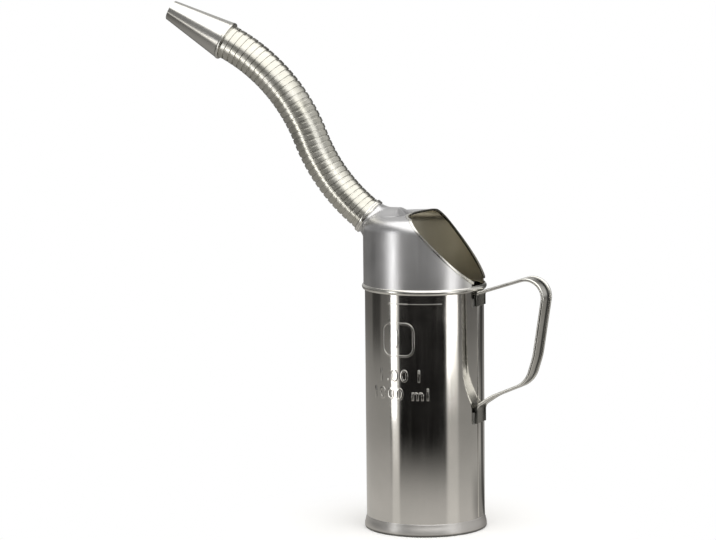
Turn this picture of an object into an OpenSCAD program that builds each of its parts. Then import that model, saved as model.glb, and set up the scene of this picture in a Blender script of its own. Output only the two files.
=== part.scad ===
// Oil measuring jug of tinplate with a flexible metal spout, for one litre.
// The origin is the centre of the base on the standing surface. +Z is up, +X is the side of the
// filling opening, and the spout leaves towards -X in the plane y = 0.

/* [Can] */
// Outer diameter of the can wall
body_d = 88; // [80:1:94]
// Thickness of the tinplate
sheet = 0.5; // [0.4:0.1:0.6]
// Height of the top edge of the wall, which the joint bead covers
wall_top = 180.6; // [178:0.2:184]
// Height of the inner face of the bottom
bottom_z = 3.8; // [3:0.1:5]
// Height of the one litre line
fill_z = 172; // [165:0.5:174]
// Height that the marks stand out of the wall
mark_depth = 0.35; // [0.2:0.05:0.5]
// Direction of the framed number round the can, in degrees from +X
mark_turn = -102.3; // [-110:0.1:-95]

/* [Hood] */
// Outer diameter of the hood, which sits on the bead round the can's top edge
hood_d = 90; // [89:0.2:91]
// Height of the flat top
hood_top = 233.1; // [228:0.1:238]
// Radius of the rounded shoulder
shoulder_r = 10.5; // [8:0.5:12]
// Angle of the sloping cut from the horizontal
cut_slope = 48.6; // [45:0.1:52]
// Height of the lowest point of the opening
cut_floor = 186; // [185:0.5:190]
// How far the opening's edge on the flat top curves towards the spout
mouth_bulge = 9.5; // [7:0.5:11]
// Width of the folded edge round the opening
hem_w = 1.5; // [1:0.1:2]

/* [Spout] */
// Outer diameter of the flexible hose
hose_d = 26.1; // [25:0.1:27]
// Length of hose that one turn of the strip takes
turn_pitch = 4.745; // [4.7:0.005:4.8]
// Width of the groove between two turns when the hose is straight
groove = 1.25; // [1.2:0.05:1.4]
// Thickness of the wound strip
strip = 0.4; // [0.3:0.05:0.45]
// Angle of the spout above the horizontal where it leaves the hood
root_heading = 38.1; // [36:0.1:41]
// Angle that each hinge of the lower, rising bend adds
lower_step = 2.02; // [1.9:0.01:2.1]
// Angle that each hinge of the upper, levelling bend takes away
upper_step = 2.02; // [1.9:0.01:2.1]
// Length of the cone from the hose to its mouth
cone_l = 49.5; // [45:0.5:55]
// Outer diameter of the cone at its wide end
cone_d = 29.1; // [28.6:0.1:29.6]
// Outer diameter of the cone at its mouth
mouth_d = 15.4; // [13:0.1:17]

/* [Handle] */
// Direction of the handle and of the wall's seam, in degrees from +X
handle_turn = -10.5; // [-15:0.5:0]
// Width between the centres of the two rolled edges
strap_w = 14.8; // [13:0.1:16]
// Thickness of the strap
strap_t = 0.8; // [0.6:0.1:1]
// Diameter of the rolled edges
edge_d = 2.4; // [2.2:0.1:2.6]
// Upward slope of the upper arm
arm_slope = 18; // [16:0.5:20]

/* [Hidden] */
$fn = 96;
turn_count = 36;
lower_hinges = 15;
body_r = body_d / 2;
hood_r = hood_d / 2;
two_digits = ["01", "02", "03", "04", "05", "06", "07", "08", "09"];
function turn_name(i) = str("hose_turn_", i < 10 ? two_digits[i - 1] : str(i));

// The lock seam of the wall: width, and height above the sheet
seam_w = 5;
seam_h = 0.45;
// The base seam: its inner radius, and the height of its inner lip, on which the wall stands
seam_in_r = 43;
seam_lip_z = 4.4;
// The lowest and highest ends of the joint bead, and how far its ridge stands out
bead_low = 177.8;
bead_high = 183.6;
bead_out = 2.1;
// Half the width of the opening on the flat top, and the arc that its edge follows there
mouth_half_w = 37;
mouth_arc_r = (mouth_half_w ^ 2 + mouth_bulge ^ 2) / (2 * mouth_bulge);
// How far the folded edge of the opening stands out on both faces of the hood
hem_out = 0.5;
// Where the hose starts, at the front of the neck collar
hose_start = [-42.5, 0, 231.2];
// Radii of the neck's pipe, and of its flare at both ends
neck_r = 12.9;
flare_r = [14.6, 13.9];
flare_z = [-20, -2];
// The hump on the hood's top, through which the neck leaves: the radius across its ridge, half its
// width, its height, and the ridge as distances from the can's axis and heights above the flat top
hump_r = 46.8;
hump_half_w = 21;
hump_h = 4.7;
hump_ridge = [[-36, 0], [-33, 3.3], [-30.5, 4.4], [-27, hump_h], [-22, 4.65], [-19, 4.3], [-16.5, 3.4],
    [-14, 1.7], [-12, 0]];
// The joints and the grooves of a turn: sleeve, lip and hook radii below the crown's
hose_r = hose_d / 2;
sleeve_r = hose_r - 1.25;
lip_r = hose_r - 1.05;
hook_r = hose_r - 0.8;
crown_chamfer = 0.35;
hook_w = 0.3;
// The rim's two ends, measured from the end of the last turn
rim_rear = 0.1;
rim_front = 2.3;
// The handle's tab: radius of its middle plane, and height of its lower end
tab_r = 44.9;
tab_low = 81;
tab_l = 7.2;
tab_bend_r = 3;
// The strap's path from its lower end: straight length, bend radius, bend angle (left positive)
grip_steps = [[9, 6.5, -56], [8.7, 30, -10.6], [18.5, 19, 49], [7.3, 60, 8.6]];
grip_l = 37.2;
corner_r = 13;

function unit_at(a) = [cos(a), sin(a)];

// The bend's centre, for a step that starts at [x, y, heading]
function bend_centre(at, step) =
    [at[0], at[1]] + step[0] * unit_at(at[2]) + step[1] * unit_at(at[2] + 90 * sign(step[2]));

// Where one step ends, and where the first n steps of a path end
function after_step(at, step) =
    let (
        heading = at[2] + step[2],
        p = bend_centre(at, step) - step[1] * unit_at(heading + 90 * sign(step[2]))
    )
    [p[0], p[1], heading];
function place(steps, n, start) =
    n == 0 ? start : after_step(place(steps, n - 1, start), steps[n - 1]);

tab_start = [tab_r, tab_low, 90];
grip_end = place(grip_steps, len(grip_steps), tab_start);
corner_turn = 180 + arm_slope - grip_end[2];
corner_end = after_step(grip_end, [grip_l, corner_r, corner_turn]);
tab_bend_reach = tab_bend_r * (1 - sin(arm_slope));
arm_l = (corner_end[0] - tab_r - tab_bend_reach) / cos(arm_slope);
strap_steps = concat(grip_steps,
    [[grip_l, corner_r, corner_turn], [arm_l, tab_bend_r, 90 - arm_slope], [tab_l, 0, 0]]);
strap_end = place(strap_steps, len(strap_steps), tab_start);

// The strap's face, at an offset to the left of the path, as points from its lower to its upper end
function face_point(centre, radius, heading, side, offset) =
    centre - (radius - side * offset) * unit_at(heading + 90 * side);
function face_points(offset) = concat(
    [[tab_r - offset, tab_low]],
    [for (i = [0 : len(strap_steps) - 2])
        let (
            at = place(strap_steps, i, tab_start),
            step = strap_steps[i],
            centre = bend_centre(at, step),
            flats = ceil(abs(step[2]) / 7)
        )
        for (k = [0 : flats])
            face_point(centre, step[1], at[2] + step[2] * k / flats, sign(step[2]), offset)],
    [[strap_end[0] + offset, strap_end[1]]]);
function reversed(list) = [for (i = [len(list) - 1 : -1 : 0]) list[i]];

// The heading of a turn above the horizontal, and the hinge points between the turns
function turn_heading(i) =
    root_heading + lower_step * min(i - 1, lower_hinges) - upper_step * max(0, i - 1 - lower_hinges);
function hinge_point(i) =
    i == 0 ? hose_start :
    hinge_point(i - 1) + turn_pitch * [-cos(turn_heading(i)), 0, sin(turn_heading(i))];

// Stands a piece, drawn along +Z, on the hose's line
module on_hose(point, heading) {
    translate(point)
        rotate([0, heading - 90, 0])
            children();
}

// A cup turned upside down with a rounded shoulder, as one solid
module cup(r, top, corner, low) {
    rotate_extrude() {
        translate([0, low]) square([r, top - corner - low]);
        translate([0, low]) square([r - corner, top - low]);
        translate([r - corner, top - corner]) circle(corner);
    }
}

// The air that the cut takes out of the hood, grown by a margin: a slope, and on the flat top an
// arc that curves towards the spout
module mouth_cut(grow) {
    past = 12;
    plate_depth = 1.2;
    reach = hood_r + past;
    low = cut_floor - grow;
    high = hood_top + past;
    shift = grow / sin(cut_slope);
    x_low = (hood_top - low) / tan(cut_slope) - shift;
    x_high = (hood_top - high) / tan(cut_slope) - shift;
    rotate([90, 0, 0])
        linear_extrude(height = 2 * reach, center = true)
            polygon([[x_low, low], [reach, low], [reach, high], [x_high, high]]);
    translate([mouth_arc_r - mouth_bulge, 0, hood_top - plate_depth])
        cylinder(r = mouth_arc_r + grow, h = past + plate_depth, $fn = 480);
}

// A band of the wall's surface, raised outwards: height range and angle range
module wall_band(low, high, from, sweep, depth) {
    rotate([0, 0, from])
        rotate_extrude(angle = sweep)
            translate([body_r - sheet / 2, low])
                square([sheet / 2 + depth, high - low]);
}

// The number 1 in a frame with round corners, raised on the wall
module framed_one(w, h, corner, line) {
    frame_z = 145.6;
    intersection() {
        difference() {
            cylinder(r = body_r + mark_depth, h = wall_top);
            translate([0, 0, -1]) cylinder(r = body_r - sheet / 2, h = wall_top + 2);
        }
        rotate([0, 0, mark_turn])
            translate([body_r / 2, 0, frame_z])
                rotate([90, 0, 90])
                    linear_extrude(height = body_r) {
                        difference() {
                            round_plate(w, h, corner);
                            round_plate(w - 2 * line, h - 2 * line, corner - line);
                        }
                        polygon([
                            [-0.6, -7], [1.8, -7], [1.8, 7], [-0.2, 7], [-3.6, 4.4], [-3.6, 1.9],
                            [-0.6, 4]]);
                    }
    }
}

module round_plate(w, h, corner) {
    square([w, h - 2 * corner], center = true);
    square([w - 2 * corner, h], center = true);
    for (x = [-1, 1], y = [-1, 1])
        translate([x * (w / 2 - corner), y * (h / 2 - corner)])
            circle(corner);
}

module body_wall() {
    mark_line = 0.45;
    crease_line = 0.3;
    crease_depth = 0.12;
    color("silver") {
        difference() {
            union() {
                translate([0, 0, seam_lip_z]) cylinder(r = body_r, h = wall_top - seam_lip_z);
                seam_angle = seam_w / body_r * 180 / PI;
                wall_band(9.5, bead_low - 0.5, handle_turn - seam_angle / 2, seam_angle, seam_h);
                // the one litre line, with a round punch mark at its left end, and the faint
                // crease that goes on from it
                wall_band(fill_z - mark_line, fill_z + mark_line, mark_turn - 6, 17, mark_depth);
                wall_band(fill_z - crease_line, fill_z + crease_line, mark_turn + 10, 34, crease_depth);
                rotate([0, 0, mark_turn - 8.6])
                    translate([body_r - sheet / 2, 0, fill_z])
                        rotate([0, 90, 0])
                            cylinder(d = 2, h = sheet / 2 + mark_depth + 0.1);
                framed_one(26, 25.6, 7, 1.6);
            }
            translate([0, 0, seam_lip_z - 1]) cylinder(r = body_r - sheet, h = wall_top);
        }
    }
}

module base_disc() {
    step_r = 36;
    step_z = 0.8;
    slope_w = 1.2;
    color("silver")
        rotate_extrude()
            polygon([
                [0, bottom_z - step_z], [step_r, bottom_z - step_z], [step_r + slope_w, bottom_z],
                [seam_in_r, bottom_z], [seam_in_r, bottom_z - sheet],
                [step_r + slope_w, bottom_z - sheet], [step_r, bottom_z - sheet - step_z],
                [0, bottom_z - sheet - step_z]]);
}

// The rolled foot: the wall flares out to it from above
module base_seam() {
    color("gray")
        rotate_extrude()
            polygon([
                [seam_in_r, 0.5], [seam_in_r + 0.4, 0], [body_r + 0.6, 0], [body_r + 1.15, 0.6],
                [body_r + 1.4, 1.6], [body_r + 1.4, 3], [body_r + 1.1, 4.6], [body_r + 0.55, 6.6],
                [body_r + 0.15, 8.4], [body_r, 9.2], [body_r, seam_lip_z],
                [seam_in_r, seam_lip_z]]);
}

// The bead is closed on the wall below its ridge and on the hood above it. The hood's edge stands
// on the ledge between them.
module joint_bead() {
    color("lightgray")
        rotate_extrude()
            polygon([
                [body_r, bead_low], [body_r + 0.9, 178.4], [body_r + 1.75, 179.5],
                [body_r + bead_out, wall_top], [body_r + 1.95, 181.7],
                [body_r + 1.5, 182.9], [hood_r, bead_high], [hood_r, wall_top],
                [body_r, wall_top]]);
}

module hood_shell() {
    color("silver")
        difference() {
            cup(hood_r, hood_top, shoulder_r, wall_top);
            cup(hood_r - sheet, hood_top - sheet, shoulder_r - sheet, wall_top - 1);
            mouth_cut(hem_w);
            neck_bore();
        }
}

// The passage from the hood into the hose
module neck_bore() {
    rear_z = -30;
    on_hose(hose_start, root_heading)
        translate([0, 0, rear_z]) cylinder(r = neck_r - sheet, h = 4 - rear_z);
}

// The folded edge follows the hood's own surface, a little proud of it on both faces
module opening_hem() {
    low = cut_floor - hem_w;
    color("lightgray")
        difference() {
            intersection() {
                difference() {
                    cup(hood_r + hem_out, hood_top + hem_out, shoulder_r + hem_out, low);
                    cup(hood_r - sheet - hem_out, hood_top - sheet - hem_out,
                        shoulder_r - sheet - hem_out, low - 1);
                }
                mouth_cut(hem_w);
            }
            mouth_cut(0);
        }
}

// The hump: a part of a barrel that lies along +X
module neck_hump() {
    low = hood_top - 1;
    axis_z = hood_top + hump_h - hump_r;
    rear_x = hump_ridge[0][0];
    front_x = hump_ridge[len(hump_ridge) - 1][0];
    intersection() {
        translate([0, 0, axis_z])
            rotate([0, 90, 0])
                rotate_extrude($fn = 360)
                    polygon(concat(
                        [for (p = hump_ridge) [hood_top + p[1] - axis_z, p[0]]],
                        [[low - axis_z, front_x], [low - axis_z, rear_x]]));
        translate([rear_x - 1, -hump_half_w, low])
            cube([front_x - rear_x + 2, 2 * hump_half_w, 2 * hump_h]);
    }
}

module spout_neck() {
    color("silver")
        difference() {
            union() {
                neck_hump();
                on_hose(hose_start, root_heading)
                    translate([0, 0, flare_z[0]]) {
                        cylinder(r = neck_r, h = 0.3 - flare_z[0]);
                        cylinder(r1 = flare_r[0], r2 = flare_r[1], h = flare_z[1] - flare_z[0]);
                    }
            }
            neck_bore();
            cup(hood_r, hood_top, shoulder_r, wall_top);
        }
}

module neck_collar() {
    out_r = 14.3;
    color("lightgray")
        on_hose(hose_start, root_heading)
            rotate_extrude()
                polygon([
                    [neck_r, flare_z[1]], [out_r - 0.6, flare_z[1]], [out_r, flare_z[1] + 0.8],
                    [out_r, 0.8], [out_r - 0.7, 1.6], [hose_r, 1.6], [hose_r, 0.3], [neck_r, 0.3]]);
}

// One turn of the interlocked strip, from its rear hinge plane at z = 0: a crown with a lip at its
// rear, a web at its front, and a sleeve that reaches under the next crown and ends in a hook
module hose_turn(i) {
    rear = groove / 2;
    front = turn_pitch - groove / 2;
    hook_z = 1.5 * turn_pitch - hook_w / 2;
    color("silver")
        on_hose(hinge_point(i - 1), turn_heading(i))
            rotate_extrude()
                polygon([
                    [lip_r, rear], [hose_r - crown_chamfer, rear], [hose_r, rear + crown_chamfer],
                    [hose_r, front - crown_chamfer], [hose_r - crown_chamfer, front],
                    [sleeve_r, front], [sleeve_r, hook_z], [hook_r, hook_z],
                    [hook_r, hook_z + hook_w], [sleeve_r - strip, hook_z + hook_w],
                    [sleeve_r - strip, front - strip], [hose_r - strip, front - strip],
                    [hose_r - strip, rear + strip], [lip_r, rear + strip]]);
}

module nozzle_cone() {
    skirt_r = hose_r + 0.6;
    cone_r = cone_d / 2;
    mouth_r = mouth_d / 2;
    color("silver")
        on_hose(hinge_point(turn_count), turn_heading(turn_count))
            rotate_extrude()
                polygon([
                    [hook_r, rim_rear], [skirt_r, rim_rear], [skirt_r, rim_front],
                    [cone_r, rim_front], [mouth_r, cone_l], [mouth_r - sheet, cone_l],
                    [cone_r - sheet - 0.1, rim_front + 0.6], [hook_r, rim_front]]);
}

module nozzle_rim() {
    skirt_r = hose_r + 0.6;
    out_r = 14.95;
    color("lightgray")
        on_hose(hinge_point(turn_count), turn_heading(turn_count))
            rotate_extrude()
                polygon([
                    [skirt_r, rim_rear], [out_r - 0.4, rim_rear], [out_r, rim_rear + 0.6],
                    [out_r, rim_front - 0.6], [out_r - 0.4, rim_front], [skirt_r, rim_front]]);
}

// Stands a piece, drawn in the plane of radius and height, at the handle's direction
module on_handle() {
    rotate([0, 0, handle_turn])
        rotate([90, 0, 0])
            children();
}

module handle_strap() {
    color("silver")
        on_handle()
            linear_extrude(height = strap_w, center = true)
                polygon(concat(face_points(strap_t / 2), reversed(face_points(-strap_t / 2))));
}

// A round bar along the strap's path; a ball closes each joint between a straight and a bend
module edge_bar() {
    ball_d = edge_d + 0.06;
    for (i = [0 : len(strap_steps) - 1]) {
        at = place(strap_steps, i, tab_start);
        step = strap_steps[i];
        translate([at[0], at[1], 0])
            rotate([0, 0, at[2]])
                rotate([0, 90, 0])
                    cylinder(d = edge_d, h = step[0]);
        if (step[2] != 0) {
            centre = bend_centre(at, step);
            first = step[2] > 0 ? at[2] - 90 : at[2] + 90 + step[2];
            from = at + concat(step[0] * unit_at(at[2]), [0]);
            to = after_step(at, step);
            translate([centre[0], centre[1], 0])
                rotate([0, 0, first])
                    rotate_extrude(angle = abs(step[2]))
                        translate([step[1], 0]) circle(d = edge_d);
            translate([from[0], from[1], 0]) sphere(d = ball_d);
            translate([to[0], to[1], 0]) sphere(d = ball_d);
        }
    }
}

// A rolled edge: round, with the strap held in its slot
module rolled_edge(side) {
    color("lightgray")
        difference() {
            on_handle() translate([0, 0, side * strap_w / 2]) edge_bar();
            handle_strap();
        }
}

module handle_edge_near() {
    rolled_edge(1);
}

module handle_edge_far() {
    rolled_edge(-1);
}

// A thin bed of solder between a tab and the wall
module solder_bed(low, high) {
    bed_w = 18.5;
    bed_r = body_r + 1.1;
    seam_angle = seam_w / body_r * 180 / PI;
    $fn = 360;
    color("darkgray")
        difference() {
            intersection() {
                translate([0, 0, low]) cylinder(r = bed_r, h = high - low);
                rotate([0, 0, handle_turn])
                    translate([body_r / 2, -bed_w / 2, low])
                        cube([body_r, bed_w, high - low]);
            }
            translate([0, 0, low - 1]) cylinder(r = body_r, h = high - low + 2);
            wall_band(low - 1, high + 1, handle_turn - seam_angle / 2, seam_angle, seam_h);
            rotate([0, 0, handle_turn])
                translate([tab_r, 0, low - 1]) {
                    translate([-strap_t / 2, -strap_w / 2, 0])
                        cube([strap_t, strap_w, high - low + 2]);
                    for (y = [-1, 1])
                        translate([0, y * strap_w / 2, 0])
                            cylinder(d = edge_d, h = high - low + 2);
                }
        }
}

module upper_solder() {
    solder_bed(strap_end[1] - 0.5, strap_end[1] + 5.7);
}

module lower_solder() {
    solder_bed(tab_low - 0.5, tab_low + 8);
}

body_wall();
base_disc();
base_seam();
joint_bead();
hood_shell();
opening_hem();
spout_neck();
neck_collar();
nozzle_cone();
nozzle_rim();
handle_strap();
handle_edge_near();
handle_edge_far();
upper_solder();
lower_solder();
for (i = [1 : turn_count])
    hose_turn(i);
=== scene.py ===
# %% [markdown]
# # An oil measuring jug of tinplate
#
# The jug is a tin can with a drawn hood, a strap handle and a flexible metal hose for a spout.
# Its measured model comes from the CAD part. This lesson dresses that model: every sheet, bead and
# turn of hose gets its rolled edges, its small dents and its finish.
#
# Bright tinplate is almost a mirror, so half of the work is the room that it reflects.

import math

import bmesh
import bpy
from mathutils import Matrix, Vector, noise


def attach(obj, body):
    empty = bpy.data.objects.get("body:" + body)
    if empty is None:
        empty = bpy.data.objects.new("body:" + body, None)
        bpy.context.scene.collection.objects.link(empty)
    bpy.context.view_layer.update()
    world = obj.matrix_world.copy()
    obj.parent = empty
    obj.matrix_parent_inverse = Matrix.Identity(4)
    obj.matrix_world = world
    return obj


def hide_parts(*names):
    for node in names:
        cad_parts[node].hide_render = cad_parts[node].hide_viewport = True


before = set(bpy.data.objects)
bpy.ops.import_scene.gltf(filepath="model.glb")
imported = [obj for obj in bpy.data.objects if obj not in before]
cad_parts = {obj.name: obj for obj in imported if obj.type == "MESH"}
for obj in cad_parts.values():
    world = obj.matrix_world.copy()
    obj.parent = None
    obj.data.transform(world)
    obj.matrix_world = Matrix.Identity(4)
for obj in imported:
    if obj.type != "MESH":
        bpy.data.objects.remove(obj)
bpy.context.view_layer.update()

# %% [markdown]
# ## The camera
#
# The photograph was taken with a long lens from a little above. A camera is easiest to place by
# working back from one point that can be found in the picture. The centre of the can's base is at
# a known pixel, so the camera stands at its distance from there, along the line of sight.

# %% Stand the camera where the photograph was taken
IMAGE_W, IMAGE_H = 716, 540
BASE_PIXEL_X, BASE_PIXEL_Y = 425.97, 524.63
FOCAL_PIXELS = 3000
CAMERA_TURN = math.radians(-74.0)
CAMERA_RISE = math.radians(7.36)
CAMERA_ROLL = math.radians(-0.56)
CAMERA_DISTANCE = 2.2396

towards_camera = Vector((
    math.cos(CAMERA_TURN) * math.cos(CAMERA_RISE),
    math.sin(CAMERA_TURN) * math.cos(CAMERA_RISE),
    math.sin(CAMERA_RISE)))
level_right = (-towards_camera).cross(Vector((0, 0, 1))).normalized()
level_up = level_right.cross(-towards_camera)
picture_right = level_right * math.cos(CAMERA_ROLL) + level_up * math.sin(CAMERA_ROLL)
picture_up = level_up * math.cos(CAMERA_ROLL) - level_right * math.sin(CAMERA_ROLL)
base_right = (BASE_PIXEL_X - IMAGE_W / 2) / FOCAL_PIXELS
base_up = (IMAGE_H / 2 - BASE_PIXEL_Y) / FOCAL_PIXELS
eye = CAMERA_DISTANCE * (towards_camera - picture_right * base_right - picture_up * base_up)

camera_data = bpy.data.cameras.new("photo_camera")
camera_data.sensor_width = 36
camera_data.lens = FOCAL_PIXELS / IMAGE_W * camera_data.sensor_width
camera = bpy.data.objects.new("photo_camera", camera_data)
camera.matrix_world = Matrix.Translation(eye) @ Matrix(
    (picture_right, picture_up, towards_camera)).transposed().to_4x4()
bpy.context.scene.collection.objects.link(camera)
bpy.context.scene.camera = camera
print("camera at", [round(v, 3) for v in eye], "with a lens of", round(camera_data.lens, 1), "mm")

# %% [markdown]
# ## Finishes
#
# All the metal is tinned steel, but no two parts were worked alike. The can was rolled from bright
# sheet and mirrors the room. The hood was pressed in a die, which left it satin. One function
# builds each finish: a metal shader whose colour, roughness and small relief each come from noise
# in Object coordinates, so that the pattern stays on the piece when it moves.

# %% Small helpers for shader nodes
def plug(tree, setting, socket):
    """Links a socket, or writes a plain number."""
    if isinstance(setting, bpy.types.NodeSocket):
        tree.links.new(setting, socket)
    else:
        socket.default_value = setting


def fade(tree, value, start, end, low=0.0, high=1.0, smooth=True):
    """Runs from low to high while the value runs from start to end."""
    remap = tree.nodes.new("ShaderNodeMapRange")
    remap.interpolation_type = "SMOOTHSTEP" if smooth else "LINEAR"
    for name, setting in (("Value", value), ("From Min", start), ("From Max", end),
                          ("To Min", low), ("To Max", high)):
        plug(tree, setting, remap.inputs[name])
    return remap.outputs["Result"]


def calculate(tree, operation, first, second):
    node = tree.nodes.new("ShaderNodeMath")
    node.operation = operation
    plug(tree, first, node.inputs[0])
    plug(tree, second, node.inputs[1])
    return node.outputs["Value"]


def arrow(tree, operation, vector, other=None):
    """Vector mathematics: the other vector may be a plain one."""
    node = tree.nodes.new("ShaderNodeVectorMath")
    node.operation = operation
    tree.links.new(vector, node.inputs[0])
    if other is not None:
        node.inputs[1].default_value = other
    return node.outputs["Value" if operation in ("DOT_PRODUCT", "LENGTH") else "Vector"]


def add_noise(tree, coordinates, size, stretch, detail=4.0):
    """Noise with a feature size in millimetres, longer along the axes where stretch is small."""
    pattern = tree.nodes.new("ShaderNodeTexNoise")
    pattern.inputs["Scale"].default_value = 1
    pattern.inputs["Detail"].default_value = detail
    tree.links.new(arrow(tree, "MULTIPLY", coordinates, [1000 / size * s for s in stretch]),
                   pattern.inputs["Vector"])
    return pattern.outputs["Fac"]


def mix_colours(tree, factor, first, second):
    tone = tree.nodes.new("ShaderNodeMix")
    tone.data_type = "RGBA"
    plug(tree, factor, tone.inputs["Factor"])
    plug(tree, first, tone.inputs["A"])
    plug(tree, second, tone.inputs["B"])
    return tone.outputs["Result"]


# %% [markdown]
# A few places of the tin get painted shade: a darker tone that stands in for shadow or a dark
# reflection. Each of these functions is one where that painted shade is darkest, and zero where
# the metal keeps its own tone. Places are in metres.

# %% Find the places with painted shade
HANDLE_TURN = math.radians(-10.5)
# How far from the can's axis the painted shade at the handle's tabs begins and is full.
UNSHADED_RADIUS, SHADED_RADIUS = 0.0478, 0.0464
# How dark the strap's painted shade at the tabs is, and where its painted dark reflection runs along
# the grip.
TAB_SHADE = 0.5
GRIP_LINE_Y, GRIP_LINE_EDGE, GRIP_LINE_CORE = 0.0025, 0.0031, 0.0017
GRIP_LINE_FROM, GRIP_LINE_FULL = 0.077, 0.084
# Heights where the foot's painted contact shadow begins and is full.
FOOT_UNSHADED_Z, FOOT_SHADED_Z = 0.0021, 0.0009
# Where the hem's painted dark reflection begins and is full.
RIM_UNSHADED_Y, RIM_SHADED_Y = -0.002, 0.010


def painted_shade_near_wall(tree, place):
    """Painted shade and dark reflection close to the can's wall, where the handle's tabs meet it."""
    from_axis = arrow(tree, "LENGTH", arrow(tree, "MULTIPLY", place, (1, 1, 0)))
    return fade(tree, from_axis, UNSHADED_RADIUS, SHADED_RADIUS)


def painted_strap_shade_and_reflection(tree, place):
    """Painted shade near the wall, half as dark, and a painted dark reflection in a line along the
    grip.
    """
    outward = (math.cos(HANDLE_TURN), math.sin(HANDLE_TURN), 0)
    sideways = (-math.sin(HANDLE_TURN), math.cos(HANDLE_TURN), 0)
    across = arrow(tree, "DOT_PRODUCT", place, sideways)
    off_line = calculate(tree, "ABSOLUTE", calculate(tree, "SUBTRACT", across, GRIP_LINE_Y), 0)
    line = calculate(tree, "MULTIPLY", fade(tree, off_line, GRIP_LINE_EDGE, GRIP_LINE_CORE),
                     fade(tree, arrow(tree, "DOT_PRODUCT", place, outward),
                          GRIP_LINE_FROM, GRIP_LINE_FULL))
    tabs = calculate(tree, "MULTIPLY", painted_shade_near_wall(tree, place), TAB_SHADE)
    return calculate(tree, "MAXIMUM", line, tabs)


def painted_contact_shadow(tree, place):
    """Painted contact shadow: the lowest edge of the foot, where the jug is set down, is darker."""
    height = arrow(tree, "DOT_PRODUCT", place, (0, 0, 1))
    return fade(tree, height, FOOT_UNSHADED_Z, FOOT_SHADED_Z)


def painted_far_rim_reflection(tree, place):
    """Painted dark reflection: the hem is darker on its side away from the camera."""
    depth = arrow(tree, "DOT_PRODUCT", place, (0, 1, 0))
    return fade(tree, depth, RIM_UNSHADED_Y, RIM_SHADED_Y)


# %% A function that makes one metal finish
NOISE_LOW, NOISE_HIGH = 0.28, 0.72
GRAIN_SIZE = 0.8
STREAK_ROUGHNESS = (-0.02, 0.03)


def metal(name, bright, dull, roughness, streak=(1, 1, 0.06), streak_size=3, streak_depth=0.004,
          patch_size=30, grain_depth=0.003, painted_dark_tone=None, painted_dark_mask=painted_shade_near_wall):
    """Tinned steel: patches of two tones, uneven roughness, streaks from rolling and fine grain.
    A painted dark tone is a third, darker tone at one place: painted shade or a painted dark
    reflection."""
    material = bpy.data.materials.new(name)
    material.use_nodes = True
    tree = material.node_tree
    nodes, links = tree.nodes, tree.links
    shader = nodes["Principled BSDF"]
    shader.inputs["Metallic"].default_value = 1
    place = nodes.new("ShaderNodeTexCoord").outputs["Object"]
    patches = add_noise(tree, place, patch_size, (1, 1, 1))
    streaks = add_noise(tree, place, streak_size, streak)
    grain = add_noise(tree, place, GRAIN_SIZE, (1, 1, 1), detail=2)

    tone = mix_colours(tree, fade(tree, patches, NOISE_LOW, NOISE_HIGH, smooth=False),
                       (*dull, 1), (*bright, 1))
    if painted_dark_tone:
        tone = mix_colours(tree, painted_dark_mask(tree, place), tone, (*painted_dark_tone, 1))
    links.new(tone, shader.inputs["Base Color"])
    uneven = calculate(
        tree, "ADD", fade(tree, patches, NOISE_LOW, NOISE_HIGH, *roughness, smooth=False),
        fade(tree, streaks, NOISE_LOW, NOISE_HIGH, *STREAK_ROUGHNESS, smooth=False))
    links.new(uneven, shader.inputs["Roughness"])

    rolled = nodes.new("ShaderNodeBump")
    rolled.inputs["Distance"].default_value = streak_depth / 1000
    links.new(streaks, rolled.inputs["Height"])
    fine = nodes.new("ShaderNodeBump")
    fine.inputs["Distance"].default_value = grain_depth / 1000
    links.new(grain, fine.inputs["Height"])
    links.new(rolled.outputs["Normal"], fine.inputs["Normal"])
    links.new(fine.outputs["Normal"], shader.inputs["Normal"])
    return material


# %% The finishes of this jug
EDGE_TONES = (0.76, 0.75, 0.71), (0.64, 0.63, 0.59)

can_tin = metal("can_tin", (0.70, 0.68, 0.65), (0.62, 0.61, 0.58), (0.07, 0.13),
                streak_depth=0.012)
# The foot's lowest edge gets a painted contact shadow in a darker tone.
foot_tin = metal("foot_tin", (0.60, 0.58, 0.56), (0.54, 0.53, 0.51), (0.34, 0.42),
                 streak_depth=0.012, painted_dark_tone=(0.13, 0.13, 0.12), painted_dark_mask=painted_contact_shadow)
hood_tin = metal("hood_tin", (0.72, 0.72, 0.73), (0.64, 0.64, 0.65), (0.30, 0.38),
                 streak_size=2, streak_depth=0.02)
hose_steel = metal("hose_steel", (0.66, 0.65, 0.60), (0.54, 0.53, 0.47), (0.20, 0.30),
                   streak=(1, 1, 1), patch_size=12)
nozzle_tin = metal("nozzle_tin", (0.74, 0.73, 0.70), (0.64, 0.63, 0.60), (0.14, 0.22),
                   streak=(1, 1, 1))
edge_tin = metal("edge_tin", *EDGE_TONES, (0.16, 0.26), streak=(1, 1, 1), patch_size=9)
# The hem's far side gets a painted dark reflection in a darker tone.
hem_tin = metal("hem_tin", *EDGE_TONES, (0.22, 0.32), streak=(1, 1, 1), patch_size=9,
                painted_dark_tone=(0.09, 0.085, 0.07), painted_dark_mask=painted_far_rim_reflection)
# The rolled edges get painted shade in a darker tone close to the can's wall.
handle_tin = metal("handle_tin", *EDGE_TONES, (0.16, 0.26), streak=(1, 1, 1), patch_size=9,
                   painted_dark_tone=(0.10, 0.10, 0.09))
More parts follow.
